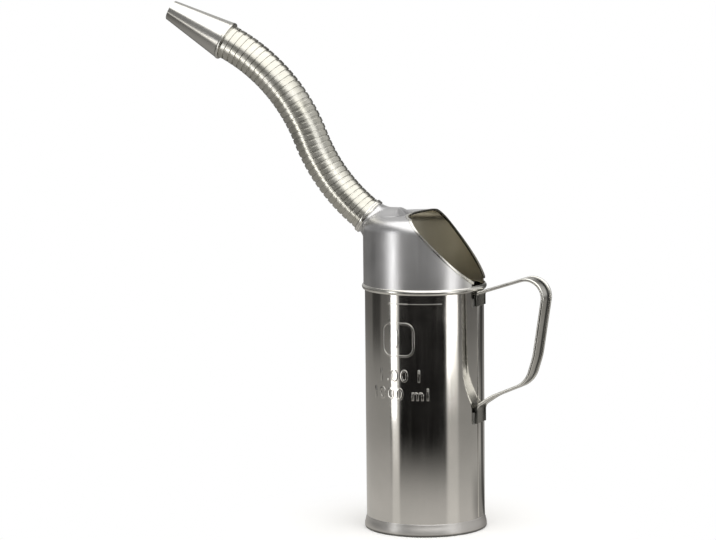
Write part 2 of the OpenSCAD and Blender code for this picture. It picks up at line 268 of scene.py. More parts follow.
# The strap gets painted shade near the wall and a painted dark reflection along the grip.
strap_tin = metal("strap_tin", (0.68, 0.67, 0.63), (0.56, 0.55, 0.51), (0.22, 0.32),
                  streak=(1, 1, 1), patch_size=14, painted_dark_tone=(0.08, 0.08, 0.07),
                  painted_dark_mask=painted_strap_shade_and_reflection)
hood_inside = metal("hood_inside", (0.81, 0.77, 0.65), (0.71, 0.67, 0.55), (0.34, 0.42),
                    streak_size=2, streak_depth=0.02)
solder = metal("solder", (0.50, 0.50, 0.48), (0.36, 0.36, 0.34), (0.38, 0.55),
               streak=(1, 1, 1), patch_size=4, grain_depth=0.05)
print("made", len(bpy.data.materials), "materials")

# %% [markdown]
# ## Helpers for sheet metal
#
# Nearly every piece of this jug is round, so it starts as an outline in radius and height that is
# spun about an axis. Sizes are written in millimetres, as on a maker's drawing, and the last step
# of each piece turns them into metres. A piece keeps its place in its mesh, and its object stays
# at the origin.

# %% Spin an outline, and finish a piece
STEPS_ROUND = 192


def outline_loop(bm, outline):
    """The closed outline of (radius, height) points, in the plane y = 0."""
    verts = [bm.verts.new((r, 0, z)) for r, z in outline]
    edges = [bm.edges.new(pair) for pair in zip(verts, verts[1:] + verts[:1])]
    return verts + edges


def lathe(outline, steps=STEPS_ROUND):
    bm = bmesh.new()
    bmesh.ops.spin(bm, geom=outline_loop(bm, outline), cent=(0, 0, 0), axis=(0, 0, 1),
                   dvec=(0, 0, 0), angle=2 * math.pi, steps=steps, use_merge=True)
    bmesh.ops.remove_doubles(bm, verts=bm.verts, dist=0.0005)
    bmesh.ops.recalc_face_normals(bm, faces=bm.faces)
    return bm


def round_edges(bm, width, segments=2, sharper_than=30):
    """Bevels every edge where the surface turns more than an angle."""
    limit = math.radians(sharper_than)
    sharp = [e for e in bm.edges if e.is_manifold and e.calc_face_angle(0) > limit]
    bmesh.ops.bevel(bm, geom=sharp, offset=width, offset_type="OFFSET", segments=segments,
                    profile=0.5, affect="EDGES", clamp_overlap=True, material=-1)


def finish_piece(bm, name, material, body="jug", place=None, stands_for=()):
    """Turns millimetres into metres, and hands the piece to the body that it rides on."""
    matrix = Matrix.Scale(0.001, 4) @ (place or Matrix())
    bmesh.ops.transform(bm, matrix=matrix, verts=bm.verts)
    mesh = bpy.data.meshes.new(name)
    bm.to_mesh(mesh)
    bm.free()
    mesh.shade_smooth()
    mesh.set_sharp_from_angle(angle=math.radians(35))
    mesh.materials.append(material)
    piece = bpy.data.objects.new(name, mesh)
    bpy.context.scene.collection.objects.link(piece)
    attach(piece, body)
    if stands_for:
        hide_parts(*stands_for)
    return piece


def describe(piece):
    print(piece.name, len(piece.data.polygons), "faces,",
          "x".join(f"{size * 1000:.1f}" for size in piece.dimensions), "mm")


# %% [markdown]
# ## The can
#
# The wall is one rolled sheet. It looks perfect until it reflects something: then soft dents of
# a few hundredths of a millimetre bend the reflection. A bump map would fake them, but real ones
# are also in the mesh itself. So the outline gets many rows, and noise moves each vertex a
# little in or out.

# %% Roll the wall
BODY_R = 44.0
SHEET = 0.5
WALL_LOW, WALL_TOP = 4.4, 180.6
WALL_ROWS = 45
DENT_DEPTH, DENT_SIZE, DENT_FADE = 0.05, 38.0, 12
MARK_TURN = math.radians(-102.3)


def dent(bm, depth, size, low, top, seed=0):
    """Pushes a round wall in and out by smooth noise, fading to nothing at both ends."""
    for v in bm.verts:
        radius = v.co.xy.length
        if radius < 1:
            continue
        end = min(v.co.z - low, top - v.co.z)
        share = min(max(end / DENT_FADE, 0), 1)
        push = depth * share * noise.noise(v.co / size + Vector((seed, seed, 0)))
        v.co.x += v.co.x / radius * push
        v.co.y += v.co.y / radius * push


wall = bmesh.new()
outline_loop(wall, [
    (BODY_R, WALL_LOW), (BODY_R, WALL_TOP), (BODY_R - SHEET, WALL_TOP), (BODY_R - SHEET, WALL_LOW)])
long_edges = [e for e in wall.edges if e.calc_length() > 10]
bmesh.ops.subdivide_edges(wall, edges=long_edges, cuts=WALL_ROWS - 1)
bmesh.ops.spin(wall, geom=wall.verts[:] + wall.edges[:], cent=(0, 0, 0), axis=(0, 0, 1),
               dvec=(0, 0, 0), angle=2 * math.pi, steps=STEPS_ROUND, use_merge=True)
bmesh.ops.recalc_face_normals(wall, faces=wall.faces)
dent(wall, DENT_DEPTH, DENT_SIZE, WALL_LOW, WALL_TOP)
can_wall = finish_piece(wall, "can_wall", can_tin, stands_for=["body_wall"])
describe(can_wall)

# %% [markdown]
# The sheet's two edges are folded into each other behind the handle. From outside, that lock seam
# is a flat band a few millimetres wide. It is a short arc of an outline, spun through only a few
# degrees and closed at both ends.

# %% Fold the lock seam
SEAM_W, SEAM_H = 5.0, 0.45
SEAM_LOW, SEAM_TOP = 9.5, 177.3


def arc_bar(outline, middle, sweep, steps):
    """Spins an outline through part of a turn, and closes both ends."""
    bm = bmesh.new()
    start = outline_loop(bm, outline)
    first = [g for g in start if isinstance(g, bmesh.types.BMVert)]
    spun = bmesh.ops.spin(bm, geom=start, cent=(0, 0, 0), axis=(0, 0, 1), dvec=(0, 0, 0),
                          angle=sweep, steps=steps)
    last = [g for g in spun["geom_last"] if isinstance(g, bmesh.types.BMVert)]
    for ring in (first, last):
        bmesh.ops.contextual_create(bm, geom=ring)
    bmesh.ops.rotate(bm, cent=(0, 0, 0), matrix=Matrix.Rotation(middle - sweep / 2, 3, "Z"),
                     verts=bm.verts)
    bmesh.ops.recalc_face_normals(bm, faces=bm.faces)
    return bm


def raised_bar(low, top, height, middle, width, steps, rounding):
    """A bar on the can's wall, with its outer edges rounded."""
    bar = arc_bar([(BODY_R - SHEET / 2, low), (BODY_R + height, low),
                   (BODY_R + height, top), (BODY_R - SHEET / 2, top)],
                  middle, width / BODY_R, steps)
    round_edges(bar, rounding, segments=3, sharper_than=50)
    return bar


seam = raised_bar(SEAM_LOW, SEAM_TOP, SEAM_H, HANDLE_TURN, SEAM_W, steps=6, rounding=0.3)
describe(finish_piece(seam, "lock_seam", can_tin))

# %% [markdown]
# ## The level marks
#
# A measure has marks pressed out from inside: a line at one litre, with a punch mark beside it and
# a faint crease that goes on from it. Below stand the number 1 in a frame, and what the can holds
# in two plain rows. A number starts as a text object, becomes a mesh, and is then wrapped: its x
# runs round the can, and its depth becomes radius.

# %% Press the marks out of the wall
MARK_DEPTH, CREASE_DEPTH = 0.35, 0.12
LITRE_Z = 172.0
PUNCH_ACROSS = -6.6


def wrap_on_can(bm, across, height):
    """Bends a flat shape round the can: its z is the height above the sheet's middle."""
    for v in bm.verts:
        angle = MARK_TURN + (v.co.x + across) / BODY_R
        radius = BODY_R - SHEET / 2 + v.co.z
        v.co = Vector((radius * math.cos(angle), radius * math.sin(angle), height + v.co.y))


def mark_line(name, height, thickness, across, width):
    """A raised line at one litre, that far to the right of the framed number's middle."""
    bar = raised_bar(LITRE_Z - thickness / 2, LITRE_Z + thickness / 2, height,
                     MARK_TURN + across / BODY_R, width, round(width), height * 0.9)
    return finish_piece(bar, name, can_tin)


describe(mark_line("mark_one_litre", MARK_DEPTH, thickness=0.9, across=1.9, width=13.0))
describe(mark_line("mark_crease", CREASE_DEPTH, thickness=0.6, across=20.8, width=25.6))

punch = bmesh.new()
bmesh.ops.create_uvsphere(punch, u_segments=24, v_segments=12, radius=1)
bmesh.ops.scale(punch, vec=(1, 1, SHEET / 2 + MARK_DEPTH + 0.1), verts=punch.verts)
wrap_on_can(punch, PUNCH_ACROSS, LITRE_Z)
finish_piece(punch, "mark_punch", can_tin)

# %% Frame the litre's number
FRAME_W, FRAME_H, FRAME_LINE, FRAME_CORNER = 26.4, 25.6, 1.6, 7.0
FRAME_Z = 145.6

plate = bmesh.new()
bmesh.ops.create_grid(plate, x_segments=1, y_segments=1, size=0.5)
bmesh.ops.scale(plate, vec=(FRAME_W, FRAME_H, 1), verts=plate.verts)
bmesh.ops.bevel(plate, geom=plate.verts[:], offset=FRAME_CORNER, offset_type="OFFSET", segments=12,
                profile=0.5, affect="VERTICES", material=-1)
rim = bmesh.ops.inset_region(plate, faces=plate.faces[:], thickness=FRAME_LINE, use_boundary=True,
                             use_even_offset=True)
inner = [f for f in plate.faces if f not in rim["faces"]]
bmesh.ops.delete(plate, geom=inner, context="FACES")
bmesh.ops.subdivide_edges(plate, edges=[e for e in plate.edges if e.calc_length() > 5], cuts=11)
raised = bmesh.ops.extrude_face_region(plate, geom=plate.faces[:])
upper = [g for g in raised["geom"] if isinstance(g, bmesh.types.BMVert)]
bmesh.ops.translate(plate, vec=(0, 0, SHEET / 2 + MARK_DEPTH), verts=upper)
bmesh.ops.recalc_face_normals(plate, faces=plate.faces)
round_edges(plate, 0.5, segments=4, sharper_than=50)
wrap_on_can(plate, 0, FRAME_Z)
describe(finish_piece(plate, "number_frame", can_tin))


# %% Raise the numbers
ROUNDING, CORE = 0.3, 0.1


def number(name, text, size, height, spacing=1.0):
    """Plain figures, raised on the can under the middle of the litre line."""
    curve = bpy.data.curves.new(name, "FONT")
    curve.body = text
    curve.size = size
    curve.align_x = "CENTER"
    curve.align_y = "CENTER"
    curve.space_character = spacing
    curve.extrude = CORE
    curve.bevel_depth = ROUNDING
    curve.bevel_resolution = 2
    curve.resolution_u = 6
    text_object = bpy.data.objects.new(name + "_text", curve)
    bpy.context.scene.collection.objects.link(text_object)
    bpy.context.view_layer.update()
    graph = bpy.context.evaluated_depsgraph_get()
    flat = bpy.data.meshes.new_from_object(text_object.evaluated_get(graph))
    bpy.data.objects.remove(text_object)
    bm = bmesh.new()
    bm.from_mesh(flat)
    bpy.data.meshes.remove(flat)
    bmesh.ops.remove_doubles(bm, verts=bm.verts, dist=0.0005)
    bmesh.ops.translate(bm, vec=(0, 0, SHEET / 2 + MARK_DEPTH - ROUNDING - CORE), verts=bm.verts)
    wrap_on_can(bm, 0, height)
    bmesh.ops.recalc_face_normals(bm, faces=bm.faces)
    return finish_piece(bm, name, can_tin)


describe(number("number_one", "1", size=19, height=FRAME_Z))
describe(number("number_litres", "1.00 l", size=12.5, height=118.7, spacing=1.25))
describe(number("number_millilitres", "1000 ml", size=12.5, height=105.2, spacing=1.2))

# %% [markdown]
# ## The foot and the joint bead
#
# The bottom is joined to the wall by a double seam: both sheets are rolled into each other, and
# that roll is what the jug stands on. Above it, the wall flares out a little. The hood is joined
# by a bead that was run round with a wheel.

# %% Roll the foot
foot = lathe([
    (43.0, 0.6), (43.15, 0.25), (43.5, 0.0), (44.5, 0.0), (44.95, 0.2), (45.25, 0.65), (45.4, 1.2),
    (45.42, 1.9), (45.4, 2.6), (45.3, 3.4), (45.1, 4.4), (44.85, 5.4), (44.6, 6.3), (44.35, 7.2),
    (44.15, 8.2), (44.03, 9.2), (43.9, 9.4), (43.9, WALL_LOW), (43.5, WALL_LOW), (43.0, WALL_LOW)])
dent(foot, 0.06, 9.0, -8, 30)
describe(finish_piece(foot, "foot_seam", foot_tin, stands_for=["base_seam"]))

# %% Run the joint bead
BEAD_R, BEAD_Z = 44.15, 180.5
ridge = [(BEAD_R + 1.93 * math.cos(math.radians(a)), BEAD_Z + 2.2 * math.sin(math.radians(a)))
         for a in range(-75, 76, 10)]
bead = lathe([(43.75, 178.2)] + ridge + [(44.75, 182.8), (44.75, 180.62), (43.75, 180.55)])
dent(bead, 0.05, 12.0, 165, 195)
describe(finish_piece(bead, "bead", edge_tin, stands_for=["joint_bead"]))

# %% [markdown]
# ## The hood
#
# The hood is a cup pressed from one disc, upside down, with one slanting cut for filling. Two
# planes bound the cut: the slope, and a level floor just above the bead. A plane can cut a mesh
# cleanly, so the cup is split at the floor first, and then only its upper half meets the slope.
#
# On the flat top the real edge is an arc. A trick makes that a straight cut too: the top's points
# slide by the depth of the arc first, the plane cuts them, and then they slide back.

# %% Press the cup and cut its mouth
HOOD_R, HOOD_TOP, SHOULDER_R = 45.0, 233.1, 10.5
CUT_SLOPE = math.radians(48.6)
CUT_FLOOR = 186.0
MOUTH_HALF_W, MOUTH_BULGE = 37.0, 9.5
PLATE_DEPTH = 1.2
HEM_W = 1.5
slope_normal = Vector((math.sin(CUT_SLOPE), 0, math.cos(CUT_SLOPE)))


def cup_line(r, top, corner, low):
    """Half of a cup's outline, from its open edge up to the axis."""
    bend = [math.radians(90 * k / 12) for k in range(13)]
    return ([(r, low)]
            + [(r - corner + corner * math.cos(a), top - corner + corner * math.sin(a)) for a in bend]
            + [(0, top)])


def above(bm, height):
    """Everything in the mesh that lies over a height."""
    return [g for kind in (bm.verts, bm.edges, bm.faces) for g in kind
            if min(v.co.z for v in ([g] if isinstance(g, bmesh.types.BMVert) else g.verts))
            > height - 1e-4]


def slide_top(bm, way):
    """Slides the flat top by the depth of the mouth's arc, or back."""
    arc_r = (MOUTH_HALF_W**2 + MOUTH_BULGE**2) / (2 * MOUTH_BULGE)
    for v in bm.verts:
        if v.co.z > HOOD_TOP - PLATE_DEPTH and abs(v.co.y) < MOUTH_HALF_W:
            v.co.x += way * (math.sqrt(arc_r**2 - v.co.y**2) - arc_r + MOUTH_BULGE)


def open_mouth(bm, grow):
    """Takes away what lies over the floor and outside the slope, with a margin."""
    floor = CUT_FLOOR - grow
    everything = bm.verts[:] + bm.edges[:] + bm.faces[:]
    bmesh.ops.bisect_plane(bm, geom=everything, plane_co=(0, 0, floor), plane_no=(0, 0, 1), dist=1e-5)
    slope_point = Vector((0, 0, HOOD_TOP)) - slope_normal * grow
    bmesh.ops.bisect_plane(bm, geom=above(bm, floor), plane_co=slope_point, plane_no=slope_normal,
                           dist=1e-5, clear_outer=True)


outer_line = cup_line(HOOD_R, HOOD_TOP, SHOULDER_R, WALL_TOP)
inner_line = cup_line(HOOD_R - SHEET, HOOD_TOP - SHEET, SHOULDER_R - SHEET, WALL_TOP)
cup = lathe(outer_line + inner_line[::-1])
dent(cup, 0.05, 30.0, WALL_TOP, HOOD_TOP + 30)
slide_top(cup, 1)
open_mouth(cup, HEM_W)
slide_top(cup, -1)
rims = [e for e in cup.edges if e.is_boundary]
bmesh.ops.bridge_loops(cup, edges=rims)
bmesh.ops.recalc_face_normals(cup, faces=cup.faces)
for f in cup.faces:
    faces_in = f.normal.dot(f.calc_center_median() - Vector((0, 0, CUT_FLOOR))) < 0
    f.material_index = 1 if faces_in else 0
hood = finish_piece(cup, "hood", hood_tin, stands_for=["hood_shell"])
hood.data.materials.append(hood_inside)
describe(hood)

# %% [markdown]
# The cut edge would be as sharp as a knife, so it is folded over. The hem follows the hood's own
# surface: a single skin of the cup is cut once at the mouth and once a hem's width further out,
# and the thin strip between the two cuts is thickened and rounded.

# %% Fold the hem round the mouth
HEM_T = 1.4
hem = bmesh.new()
middle_line = cup_line(HOOD_R - SHEET / 2, HOOD_TOP - SHEET / 2, SHOULDER_R - SHEET / 2,
                       CUT_FLOOR - 10)
chain = [hem.verts.new((r, 0, z)) for r, z in middle_line]
chain += [hem.edges.new(pair) for pair in zip(chain, chain[1:])]
bmesh.ops.spin(hem, geom=chain, cent=(0, 0, 0), axis=(0, 0, 1), dvec=(0, 0, 0), angle=2 * math.pi,
               steps=STEPS_ROUND, use_merge=True)
bmesh.ops.remove_doubles(hem, verts=hem.verts, dist=0.0005)
bmesh.ops.recalc_face_normals(hem, faces=hem.faces)
slide_top(hem, 1)
open_mouth(hem, 0)
for point, normal in (((0, 0, CUT_FLOOR - HEM_W), (0, 0, 1)),
                      (Vector((0, 0, HOOD_TOP)) - slope_normal * HEM_W, slope_normal)):
    bmesh.ops.bisect_plane(hem, geom=hem.verts[:] + hem.edges[:] + hem.faces[:], plane_co=point,
                           plane_no=normal, dist=1e-5, clear_inner=True)
slide_top(hem, -1)
for v in hem.verts:
    v.co -= v.normal * HEM_T / 2
bmesh.ops.solidify(hem, geom=hem.faces[:], thickness=-HEM_T)
bmesh.ops.recalc_face_normals(hem, faces=hem.faces)
round_edges(hem, 0.5, segments=3, sharper_than=60)
describe(finish_piece(hem, "mouth_hem", hem_tin, stands_for=["opening_hem"]))

# %% [markdown]
# ## The spout's neck
#
# The neck leaves the hood's shoulder at a slant, so the line where it meets the hood is a saddle.
# A boolean would give that line, but with a hard crease, and this neck flows into the hood, whose
# top rises to it in a low hump. Here the neck is spun first with rows at a marker height, and each
# of those rows is then dropped along the neck's axis until it lies on the hood and its hump, less
# and less high above them.

# %% Find the hood under the neck
HOSE_START = Vector((-42.5, 0, 231.2))
ROOT_HEADING = 38.1


def on_hose(point, heading):
    """The place of a piece that is drawn along +Z and stands on the hose's line."""
    return Matrix.Translation(point) @ Matrix.Rotation(math.radians(heading - 90), 4, "Y")


HUMP_H, HUMP_HALF_W = 4.7, 24.0
HUMP_REAR, HUMP_FRONT = (-36.5, -30.0), (-18.5, -11.5)


def ease(value, start, end):
    """Runs smoothly from zero to one while the value runs from start to end."""
    t = min(max((value - start) / (end - start), 0), 1)
    return t * t * (3 - 2 * t)


def hump_rise(x, y):
    """How far the hump stands over the hood."""
    ridge = HUMP_H * (ease(x, *HUMP_REAR) - ease(x, *HUMP_FRONT))
    return ridge * math.cos(math.pi / 2 * min(abs(y) / HUMP_HALF_W, 1))**2


def in_hood(point):
    """Whether a point lies under the skin of the hood and its hump."""
    shoulder_z = HOOD_TOP - SHOULDER_R
    z = point.z - hump_rise(point.x, point.y)
    if z < shoulder_z:
        return point.xy.length < HOOD_R
    room = max(SHOULDER_R**2 - (z - shoulder_z)**2, 0)
    return z < HOOD_TOP and point.xy.length < HOOD_R - SHOULDER_R + math.sqrt(room)


def hood_depth(place, x, y):
    """How far below the hose's start the hood lies, on a line along the neck's axis."""
    near, far = 0.0, -40.0
    for _ in range(40):
        half = (near + far) / 2
        if in_hood(place @ Vector((x, y, half))):
            far = half
        else:
            near = half
    return near


# %% Draw the neck out of the hood
NECK_R = 12.9
ON_HOOD = -1000
FILLET_W, FILLET_H, UPPER_FILLET_H = 3.0, 3.0, 4.5
SKIN_LIFT, SKIN_SINK = 0.04, -0.2
SKIRT_ROWS = 28
SKIRT_REACH, SKIRT_HALF_W = 20.6, 24.0
neck_place = on_hose(HOSE_START, ROOT_HEADING)


def skirt_width(turn):
    """How far the neck spreads over the hood: far enough on its upper side to carry the hump."""
    corner = ((abs(math.cos(turn)) / SKIRT_REACH)**4 + (abs(math.sin(turn)) / SKIRT_HALF_W)**4)**-0.25
    return FILLET_W + (corner - NECK_R - FILLET_W) * ease(math.cos(turn), 0.05, 0.45)


neck = lathe([(NECK_R - SHEET, 0.3), (NECK_R, 0.3), (NECK_R, -1)]
             + [(NECK_R + (k / SKIRT_ROWS)**1.6, ON_HOOD) for k in range(SKIRT_ROWS + 1)]
             + [(NECK_R + 1, ON_HOOD - 0.3), (NECK_R - SHEET, ON_HOOD - 0.3)])
for v in neck.verts:
    if v.co.z < ON_HOOD / 2:
        lowest = v.co.z < ON_HOOD - 0.1
        radius = v.co.xy.length
        turn = math.atan2(v.co.y, v.co.x)
        out = max(radius - NECK_R, 0) * skirt_width(turn)
        v.co.xy *= (min(radius, NECK_R) + out) / radius
        height = FILLET_H + (UPPER_FILLET_H - FILLET_H) * max(math.cos(turn), 0)
        rise = SKIN_SINK if lowest else height * max(1 - out / FILLET_W, 0)**2.2 + SKIN_LIFT
        v.co.z = hood_depth(neck_place, v.co.x, v.co.y) + rise
bmesh.ops.recalc_face_normals(neck, faces=neck.faces)
describe(finish_piece(neck, "neck", hood_tin, place=neck_place, stands_for=["spout_neck"]))

# %% Press the ferrule on
collar = lathe([
    (12.9, -2.0), (13.7, -2.0), (14.1, -1.85), (14.28, -1.45), (14.28, -1.0), (14.0, -0.65),
    (14.0, -0.35), (14.3, 0.0), (14.3, 0.8), (14.1, 1.25), (13.7, 1.55), (13.06, 1.6), (13.06, 0.3),
    (12.9, 0.3)])
describe(finish_piece(collar, "collar", edge_tin, place=neck_place,
                      stands_for=["neck_collar"]))

# %% [markdown]
# ## The flexible hose
#
# The hose is one strip of steel wound round and round, and each turn hooks into the next. Its
# crowns are flat with tight shoulders, and the sleeve below reaches under the next crown, so
# that nothing opens when the hose bends. One turn is an outline of that strip. Because the strip
# climbs as it is wound, each turn leans a little, which is what makes the grooves slant. No turn
# lies quite like the one before: each is tilted, tapered and dented by its own small amount, and
# that is what breaks the reflections up along the hose.

# %% Find where each turn stands
TURNS, LOWER_HINGES = 36, 15
TURN_PITCH = 4.745
LOWER_STEP, UPPER_STEP = 2.02, 2.02


def turn_heading(i):
    return (ROOT_HEADING + LOWER_STEP * min(i - 1, LOWER_HINGES)
            - UPPER_STEP * max(0, i - 1 - LOWER_HINGES))


hinge_points = [HOSE_START]
for i in range(1, TURNS + 1):
    h = math.radians(turn_heading(i))
    hinge_points.append(hinge_points[-1] + TURN_PITCH * Vector((-math.cos(h), 0, math.sin(h))))
print("the hose ends at", [round(v, 1) for v in hinge_points[-1]])

# %% Wind the turns
HOSE_R = 13.05
GROOVE = 1.25
STRIP = 0.4
LEAN = -0.06
SHELF_R, SLEEVE_R, HOOK_R = HOSE_R - 0.7, HOSE_R - 1.25, HOSE_R - 0.85
TAPER, TILT = 0.05, math.radians(0.5)


def turn_outline(taper):
    """The strip's section: a crown, a shelf under the groove, and a sleeve that ends in a hook."""
    rear, front = GROOVE / 2, TURN_PITCH - GROOVE / 2
    shelf, hook = TURN_PITCH + 1.15, 1.5 * TURN_PITCH
    rear_r, front_r = HOSE_R - max(taper, 0), HOSE_R + min(taper, 0)
    return [
        (HOSE_R - 0.5, rear + 0.12), (HOSE_R - 0.42, rear), (rear_r - 0.2, rear),
        (rear_r - 0.06, rear + 0.06), (rear_r, rear + 0.2), (rear_r, rear + 0.3),
        (front_r, front - 0.3), (front_r, front - 0.2),
        (front_r - 0.06, front - 0.06), (front_r - 0.2, front), (SHELF_R + 0.1, front),
        (SHELF_R, front + 0.1), (SHELF_R, shelf), (SLEEVE_R, shelf + 0.35), (SLEEVE_R, hook - 0.15),
        (HOOK_R, hook - 0.15), (HOOK_R, hook + 0.15), (SLEEVE_R - STRIP, hook + 0.15),
        (SLEEVE_R - STRIP, shelf), (SHELF_R - STRIP, shelf - 0.35), (SHELF_R - STRIP, front - STRIP),
        (HOSE_R - STRIP, front - STRIP), (HOSE_R - STRIP, rear + STRIP), (HOSE_R - 0.5, rear + STRIP)]


def body_of_turn(i):
    return "jug" if i == 1 else "spout_end" if i == TURNS else f"hose_turn_{i:02d}"


for i in range(1, TURNS + 1):
    turn = lathe(turn_outline(TAPER * noise.noise((0, 0, i * 1.37))), steps=96)
    dent(turn, 0.03, 5.0, -20, 30, seed=i * 3.1)
    tilt_x, tilt_y = TILT * noise.noise((i * 1.7, 0, 0)), TILT * noise.noise((0, i * 1.7, 0))
    for v in turn.verts:
        v.co.z += (LEAN + tilt_x) * v.co.x + tilt_y * v.co.y
    name = f"hose_turn_{i:02d}"
    piece = finish_piece(turn, f"turn_{i:02d}", hose_steel, body=body_of_turn(i),
                         place=on_hose(hinge_points[i - 1], turn_heading(i)), stands_for=[name])
describe(piece)

# %% [markdown]
# ## The nozzle
#
# The nozzle is a cone rolled from sheet, with a thickened rim at its wide end where it grips the
# last turn of the hose.

# %% Roll the nozzle
CONE_L = 49.5
end_place = on_hose(hinge_points[TURNS], turn_heading(TURNS))
cone = lathe([
    (12.28, 0.15), (13.65, 0.15), (13.65, 2.1), (14.58, 2.15), (7.74, CONE_L - 0.4),
    (7.65, CONE_L - 0.08), (7.45, CONE_L), (7.25, CONE_L - 0.1), (7.2, CONE_L - 0.4), (13.9, 3.0),
    (12.28, 2.4)])
describe(finish_piece(cone, "nozzle", nozzle_tin, body="spout_end", place=end_place,
                      stands_for=["nozzle_cone"]))

rim_band = lathe([
    (13.62, 0.1), (14.4, 0.1), (14.78, 0.3), (14.93, 0.7), (14.93, 1.2), (14.84, 1.7), (14.68, 2.15),
    (14.57, 2.4), (14.0, 2.4), (13.62, 2.1)])
describe(finish_piece(rim_band, "nozzle_band", edge_tin, body="spout_end", place=end_place,
                      stands_for=["nozzle_rim"]))

# %% [markdown]
# ## The handle
#
# The handle is a strap whose two long edges are rolled round a wire. A path of straights and
# bends describes it, just as it was bent over a former. The same walk along that path carries two
# sections: a thin strip for the strap, a little arched towards the hand, and a circle for each
# rolled edge. A straight is an extrusion, and a bend is a spin about the bend's centre. Each step
# of the path is a straight's length, its bend's radius, and the bend in degrees.

# %% Walk along the handle's path
TAB_R, TAB_LOW, TAB_L = 44.9, 81.0, 7.2
TAB_BEND_R, ARM_SLOPE = 3.0, 18.0
GRIP_STEPS = [(9, 6.5, -56), (8.7, 30, -10.6), (18.5, 19, 49), (7.3, 60, 8.6)]
GRIP_L, CORNER_R = 37.2, 13


def step_end(x, z, heading, length, radius, turn):
    """Where one straight and its bend lead to, and the bend's centre."""
    side = math.copysign(1, turn)
    a = math.radians(heading)
    b = math.radians(heading + turn)
    x, z = x + length * math.cos(a), z + length * math.sin(a)
    centre = (x - side * radius * math.sin(a), z + side * radius * math.cos(a))
    return (centre[0] + side * radius * math.sin(b), centre[1] - side * radius * math.cos(b),
            heading + turn, centre)


def handle_steps():
    """The whole path: the last arm is as long as it takes to come back to the wall."""
    x, z, heading = TAB_R, TAB_LOW, 90
    for step in GRIP_STEPS:
        x, z, heading, _ = step_end(x, z, heading, *step)
    corner = (GRIP_L, CORNER_R, 180 + ARM_SLOPE - heading)
    x, z, heading, _ = step_end(x, z, heading, *corner)
    reach = TAB_BEND_R * (1 - math.sin(math.radians(ARM_SLOPE)))
    arm = (x - TAB_R - reach) / math.cos(math.radians(ARM_SLOPE))
    return GRIP_STEPS + [corner, (arm, TAB_BEND_R, 90 - ARM_SLOPE), (TAB_L, 0, 0)]


def sweep_handle(bm, section):
    """Carries a closed section, drawn in the plane of x and y, along the handle's path."""
    x, z, heading = TAB_R, TAB_LOW, 90
    bmesh.ops.translate(bm, vec=(x, 0, z), verts=[g for g in section if hasattr(g, "co")])
    ends = [[g for g in section if hasattr(g, "co")]]
    for length, radius, turn in handle_steps():
        a = math.radians(heading)
        along = Vector((math.cos(a), 0, math.sin(a)))
        edges = [g for g in section if isinstance(g, bmesh.types.BMEdge)]
        pushed = bmesh.ops.extrude_edge_only(bm, edges=edges)["geom"]
        section = [g for g in pushed if not isinstance(g, bmesh.types.BMFace)]
        bmesh.ops.translate(bm, vec=along * length, verts=[g for g in section if hasattr(g, "co")])
        x, z, heading, centre = step_end(x, z, heading, length, radius, turn)
        if turn:
            section = bmesh.ops.spin(
                bm, geom=section, cent=(centre[0], 0, centre[1]), axis=(0, -1, 0), dvec=(0, 0, 0),
                angle=math.radians(turn), steps=max(4, round(abs(turn) / 4)))["geom_last"]
    ends.append([g for g in section if isinstance(g, bmesh.types.BMVert)])
    for ring in ends:
        bmesh.ops.contextual_create(bm, geom=ring)
    bmesh.ops.recalc_face_normals(bm, faces=bm.faces)


# %% Bend the strap
STRAP_W, STRAP_T, STRAP_ARCH = 14.8, 0.8, 0.66
EDGE_R = 1.2
handle_place = Matrix.Rotation(HANDLE_TURN, 4, "Z")

strap = bmesh.new()
bmesh.ops.create_grid(strap, x_segments=1, y_segments=1, size=0.5)
bmesh.ops.scale(strap, vec=(STRAP_T, STRAP_W, 1), verts=strap.verts)
bmesh.ops.delete(strap, geom=strap.faces[:], context="FACES_ONLY")
bmesh.ops.subdivide_edges(strap, edges=[e for e in strap.edges if e.calc_length() > 5], cuts=11)
for v in strap.verts:
    v.co.x += STRAP_ARCH * (0.5 - (2 * v.co.y / STRAP_W)**2)
sweep_handle(strap, strap.verts[:] + strap.edges[:])
describe(finish_piece(strap, "strap", strap_tin, place=handle_place,
                      stands_for=["handle_strap"]))

# %% Roll its edges
for name, side, node in (("rolled_edge_near", -1, "handle_edge_near"),
                         ("rolled_edge_far", 1, "handle_edge_far")):
    roll = bmesh.new()
    bmesh.ops.create_circle(roll, cap_ends=False, segments=20, radius=EDGE_R)
    bmesh.ops.translate(roll, vec=(0, side * STRAP_W / 2, 0), verts=roll.verts)
    sweep_handle(roll, roll.verts[:] + roll.edges[:])
    round_edges(roll, 0.35, segments=2, sharper_than=60)
    describe(finish_piece(roll, name, handle_tin, place=handle_place, stands_for=[node]))

# %% [markdown]
# ## What stays from the CAD model
#
# The pressed bottom and the two beds of solder already have their real shape, so they keep their
# CAD mesh and only get a finish.

# %% Dress the CAD pieces that stay
for name, material in (("base_disc", can_tin), ("upper_solder", solder), ("lower_solder", solder)):
    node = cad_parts[name]
    node.data.materials.clear()
    node.data.materials.append(material)
    print("kept", name)

# %% [markdown]
# ## The room
#
# A mirror shows its room, so the room is part of the look. The jug stands on a pale table among a
# few soft lights, and under one big soft box. The camera itself sees white wherever it sees the
# world or the table, as in the photograph. Directions in the room are given as turns, in degrees
# to the right of the camera.

# %% Directions in the room
def compass(turn):
    """The level direction at a turn to the right of the camera."""
    angle = CAMERA_TURN + math.radians(turn)
    return Vector((math.cos(angle), math.sin(angle), 0))


def wedge(tree, outward, turn, half_width, edge):
    """One inside a wedge of level directions, and zero outside it."""
    return fade(tree, arrow(tree, "DOT_PRODUCT", outward, compass(turn)),
                math.cos(math.radians(half_width + edge)), math.cos(math.radians(half_width - edge)))


